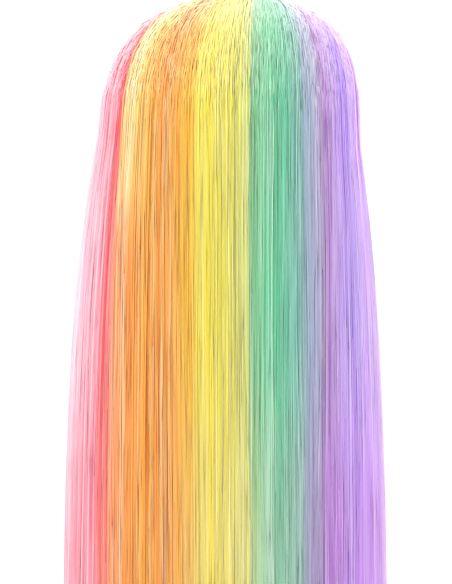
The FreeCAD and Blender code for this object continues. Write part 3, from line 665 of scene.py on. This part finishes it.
def makeStrap(side):
    # Flat woven elastic bent round the nape: a rounded band section (a superellipse of power 6)
    # carried along an arc, its thickness rippling where the elastic draws it in. Its end is turned
    # over and stitched at the anchor, which the thicker last quarter stands for.
    sign = 1 if side == "right" else -1
    stations, sides = strap["stations"], strap["sides"]
    step = np.linspace(0, 1, stations)[:, None]
    turn = np.radians(strap["from"] + (strap["to"] - strap["from"]) * step)
    around = np.arange(sides)[None, :] / sides * 2 * math.pi
    across, up = np.cos(around), np.sin(around)
    stretch = (np.abs(across) ** 6 + np.abs(up) ** 6) ** (-1 / 6)
    folded = 1 + strap["foldExtra"] * np.clip((step - strap["foldFrom"]) / 0.03, 0, 1)
    close = np.clip(np.minimum(step, 1 - step) / 0.006, 0.25, 1)
    ripple = strap["gather"] * np.sin(step * strap["gathers"] * 2 * math.pi)
    thick = (strap["wall"] / 2 * folded) * close
    radius = strap["inner"] + strap["wall"] / 2 * folded + across * stretch * thick + ripple
    height = strap["level"] + up * stretch * strap["halfHeight"] * close
    points = np.stack([sign * radius * np.sin(turn), strap["bendY"] - radius * np.cos(turn),
                       height + 0 * radius], -1)
    flat = points.reshape(-1, 3)
    ends = np.stack([points[0].mean(0), points[-1].mean(0)])
    near = np.arange(sides)
    beside = (near + 1) % sides
    last = (stations - 1) * sides
    first = np.stack([near, beside, np.full(sides, len(flat))], -1)
    final = np.stack([beside + last, near + last, np.full(sides, len(flat) + 1)], -1)
    faces = ringFaces(stations, sides)
    tips = np.concatenate([first, final])
    if sign < 0:
        faces, tips = faces[:, ::-1], tips[:, ::-1]
    run = np.broadcast_to(step * strap["flatLength"], (stations, sides)).ravel()
    along = np.stack([np.concatenate([height.ravel(), [0, 0]]),
                      np.concatenate([run, [0, strap["flatLength"]]])], -1)
    count = len(flat) + 2
    part = {"points": np.concatenate([flat, ends]), "faces": faces, "tips": tips,
            "across": np.zeros(count), "shade": np.full(count, 0.5), "along": along}
    piece = buildMesh(f"adjusterStrap{side.capitalize()}", [part], finishes["wovenElastic"])
    middle = 0.5 * strap["wall"] + strap["inner"]
    ends = [(sign * middle * math.sin(a), strap["bendY"] - middle * math.cos(a), strap["level"])
            for a in map(math.radians, (strap["bendFrom"], strap["bendTo"]))]
    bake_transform(piece)
    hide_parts(f"adjuster_strap_{side}")
    print("strap:", side, len(piece.data.polygons), "faces")


def patternOf(tree, kind, spacing):
    # Pattern from 0 to 1 in the object's own coordinates, one repeat to each spacing
    place = addNode(tree, "ShaderNodeTexCoord")
    scale = tuple(1 / s for s in spacing)
    scaled = addNode(tree, "ShaderNodeMapping", {"Scale": scale}, {"Vector": place.outputs["Object"]})
    where = {"Vector": scaled.outputs["Vector"]}
    if kind == "net":      # cell walls are the threads, the cells the openings, which take the darker hollow colour as painted shade
        cells = addNode(tree, "ShaderNodeTexVoronoi",
                        {"feature": "DISTANCE_TO_EDGE", "Scale": 1.0, "Randomness": 0.45}, where)
        threads = addNode(tree, "ShaderNodeMapRange",
                          {"From Min": 0.05, "From Max": 0.17, "To Min": 1.0, "To Max": 0.0},
                          {"Value": cells.outputs["Distance"]})
        return threads.outputs["Result"]
    if kind == "grain":    # matted or drawn fibres
        grain = addNode(tree, "ShaderNodeTexNoise", {"Scale": 1.0, "Detail": 6.0, "Roughness": 0.65}, where)
        return grain.outputs["Fac"]
    warp = addNode(tree, "ShaderNodeTexWave",
                   {"bands_direction": "Z", "Scale": 0.314, "Distortion": 0.3}, where)
    weft = addNode(tree, "ShaderNodeTexWave",
                   {"bands_direction": "DIAGONAL", "Scale": 0.314, "Distortion": 0.3}, where)
    woven = addNode(tree, "ShaderNodeMath", {"operation": "MULTIPLY_ADD", 1: 0.5},
                    {0: warp.outputs["Fac"], 2: weft.outputs["Fac"]})
    return addNode(tree, "ShaderNodeMath", {"operation": "MULTIPLY", 1: 0.67},
                   {0: woven.outputs["Value"]}).outputs["Value"]


wear = {"spacing": 14 * mm, "darkest": 0.86, "lightest": 1.12, "rougher": 0.12, "relief": 0.7}


def finishMaterial(name, kind, spacing, hollowPaintedShade, raised, surface, bump):
    # A pattern that tints between its hollow and raised colours, the hollows darker as painted
    # shade, roughens the hollows and gives the surface its relief
    made, tree = newMaterial(name)
    pattern = patternOf(tree, kind, spacing)
    # the hollows take the darker colour: painted shade
    tint = toneRamp(tree, [hollowPaintedShade, raised], pattern)
    uneven = patternOf(tree, "grain", (wear["spacing"],) * 3)      # slow change of dye and handling
    value = addNode(tree, "ShaderNodeMapRange", {"To Min": wear["darkest"], "To Max": wear["lightest"]},
                    {"Value": uneven})
    # the slow change of dye and handling over the painted shade in the hollows
    wearAndHollowShade = addNode(tree, "ShaderNodeHueSaturation", links={"Color": tint, "Value": value.outputs["Result"]})
    rough = addNode(tree, "ShaderNodeMapRange",
                    {"To Min": min(1, surface["Roughness"] + wear["rougher"]),
                     "To Max": surface["Roughness"]}, {"Value": pattern})
    raisedPart = addNode(tree, "ShaderNodeBump", {"Strength": wear["relief"], "Distance": bump},
                         {"Height": pattern})
    shader = addNode(tree, "ShaderNodeBsdfPrincipled", surface,
                     {"Base Color": wearAndHollowShade.outputs["Color"], "Roughness": rough.outputs["Result"],
                      "Normal": raisedPart.outputs["Normal"]})
    addNode(tree, "ShaderNodeOutputMaterial", links={"Surface": shader.outputs["BSDF"]})
    return made


# Finish of each piece of the cap. Spacings and bumps are the real ones.
# the first colour of each is its hollows' colour, darker as painted shade
finishes = {
    # nylon and elastane net, knitted: soft threads round open cells about 2 mm across
    # the net's openings take its dark first colour: painted shade seen through the net
    "knittedNet": finishMaterial("knittedNet", "net", (2.0 * mm,) * 3, "#6E5A4B", "#E6D3BD",
                                 {"Roughness": 0.75, "Sheen Weight": 0.3}, 0.35 * mm),
    # polyester binding tape, twill woven: fine slanting ribs, a dull sheen
    "twillBinding": finishMaterial("twillBinding", "weave", (0.9 * mm,) * 3, "#C9B49C", "#EBDAC6",
                                   {"Roughness": 0.66, "Sheen Weight": 0.35}, 0.15 * mm),
    # covered rubber elastic, woven: ribs across the pull
    "wovenElastic": finishMaterial("wovenElastic", "weave", (0.7 * mm, 0.7 * mm, 1.1 * mm), "#B9A48C",
                                   "#E9DAC8", {"Roughness": 0.60, "Sheen Weight": 0.25}, 0.20 * mm),
    # weft heading, lock stitched cotton over hair roots: close cord-like stitches
    "stitchedWeft": finishMaterial("stitchedWeft", "weave", (1.2 * mm, 1.2 * mm, 1.6 * mm), "#A8927C",
                                   "#F0E4D2", {"Roughness": 0.8}, 0.30 * mm),
    # polyester felt, needle punched: matted, no gloss
    "punchedFelt": finishMaterial("punchedFelt", "grain", (0.8 * mm,) * 3, "#C8B198", "#EFE0CD",
                                  {"Roughness": 0.92, "Sheen Weight": 0.5}, 0.20 * mm),
    # spring steel, rolled and polished: bright with drawn lines down its length
    "rolledSteel": finishMaterial("rolledSteel", "grain", (0.25 * mm, 0.25 * mm, 9 * mm), "#8F9194",
                                  "#C9CBCD", {"Roughness": 0.28, "Metallic": 1.0}, 0.02 * mm),
    # nylon ribbon, close woven
    "wovenRibbon": finishMaterial("wovenRibbon", "weave", (0.6 * mm,) * 3, "#D2C2AE", "#F2E8DA",
                                  {"Roughness": 0.55, "Sheen Weight": 0.2}, 0.10 * mm),
    # nylon 6, injection moulded: smooth, slightly waxy, a faint orange peel
    "mouldedNylon": finishMaterial("mouldedNylon", "grain", (1.6 * mm,) * 3, "#E4DCD0", "#F4EEE4",
                                   {"Roughness": 0.36, "IOR": 1.53, "Specular IOR Level": 0.5}, 0.03 * mm),
}
wearers = {
    "knittedNet": ["crown_net"],
    "twillBinding": ["front_band", "nape_band", "ear_binding_left", "ear_binding_right"],
    "wovenElastic": [f"elastic_rib_{n}" for n in range(1, 5)],
    "stitchedWeft": [f"weft_track_{n}" for n in range(1, 10)],
    "punchedFelt": ["ear_tab_left", "ear_tab_right"],
    "rolledSteel": ["ear_tab_stay_left", "ear_tab_stay_right"],
    "wovenRibbon": ["strap_loops_left", "strap_loops_right"],
    "mouldedNylon": ["strap_hook_left", "strap_hook_right"],
}
for finish, nodes in wearers.items():
    for node in nodes:
        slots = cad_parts[node].data.materials
        slots.clear()
        slots.append(finishes[finish])
for side in ("left", "right"):
    makeStrap(side)
print("cap finished in", len(finishes), "materials")

# Camera: level, long lens, facing the back of the wig
view = {
    "lens": 135, "sensor": 36, "frameHeight": 0.441,
    "centreX": 0.0004, "centreZ": -0.095, "planeY": -0.03,
}
cameraData = bpy.data.cameras.new("studioCamera")
cameraData.lens, cameraData.sensor_width = view["lens"], view["sensor"]
cameraObject = bpy.data.objects.new("studioCamera", cameraData)
bpy.context.scene.collection.objects.link(cameraObject)
away = view["frameHeight"] * view["lens"] / view["sensor"]
cameraObject.location = (view["centreX"], view["planeY"] - away, view["centreZ"])
cameraObject.rotation_euler = (math.pi / 2, 0, 0)
bpy.context.scene.camera = cameraObject

# Studio: pale floor, white surround and large soft lamps
studio = {"floor": "#F4F4F4", "surround": 1.08, "floorSize": 6.0, "floorGap": 0.012}
world = bpy.data.worlds.new("whiteSurround")
world.use_nodes = True
world.node_tree.nodes["Background"].inputs["Color"].default_value = (1, 1, 1, 1)
world.node_tree.nodes["Background"].inputs["Strength"].default_value = studio["surround"]
bpy.context.scene.world = world
bpy.context.scene.view_settings.view_transform = "Standard"   # colours as they are, white stays white
half = studio["floorSize"] / 2
floorMesh = bpy.data.meshes.new("paleFloor")
floorLevel = form["hairBottom"] - studio["floorGap"]
floorMesh.from_pydata([(-half, -half, floorLevel), (half, -half, floorLevel), (half, half, floorLevel),
                       (-half, half, floorLevel)], [], [(0, 1, 2, 3)])
floor = bpy.data.objects.new("paleFloor", floorMesh)
bpy.context.scene.collection.objects.link(floor)
floorMaterial, floorTree = newMaterial("mattPaper")
floorPaint = addNode(floorTree, "ShaderNodeBsdfPrincipled",
                     {"Base Color": linearColour(studio["floor"]), "Roughness": 0.8})
addNode(floorTree, "ShaderNodeOutputMaterial", links={"Surface": floorPaint.outputs["BSDF"]})
floorMesh.materials.append(floorMaterial)

lamps = {
    "highFront": {"place": (-0.6, -1.6, 1.5), "aim": (0, 0, 0), "size": 1.6, "power": 36},
    "overhead": {"place": (0.05, 0.35, 1.5), "aim": (0, 0, 0.1), "size": 0.9, "power": 13},
    "rightSide": {"place": (1.7, -0.7, 0.4), "aim": (0, 0, -0.1), "size": 1.4, "power": 8},
    "leftSide": {"place": (-1.7, -0.5, 0.3), "aim": (0, 0, -0.1), "size": 1.4, "power": 4},
    "behind": {"place": (0.3, 1.7, 1.0), "aim": (0, 0, 0), "size": 1.6, "power": 9},
}
for name, lamp in lamps.items():
    lampData = bpy.data.lights.new(name, "AREA")
    lampData.size, lampData.energy = lamp["size"], lamp["power"]
    lampObject = bpy.data.objects.new(name, lampData)
    lampObject.location = lamp["place"]
    aim = Vector(lamp["aim"]) - Vector(lamp["place"])
    lampObject.rotation_euler = aim.to_track_quat("-Z", "Y").to_euler()
    bpy.context.scene.collection.objects.link(lampObject)
print("studio ready")
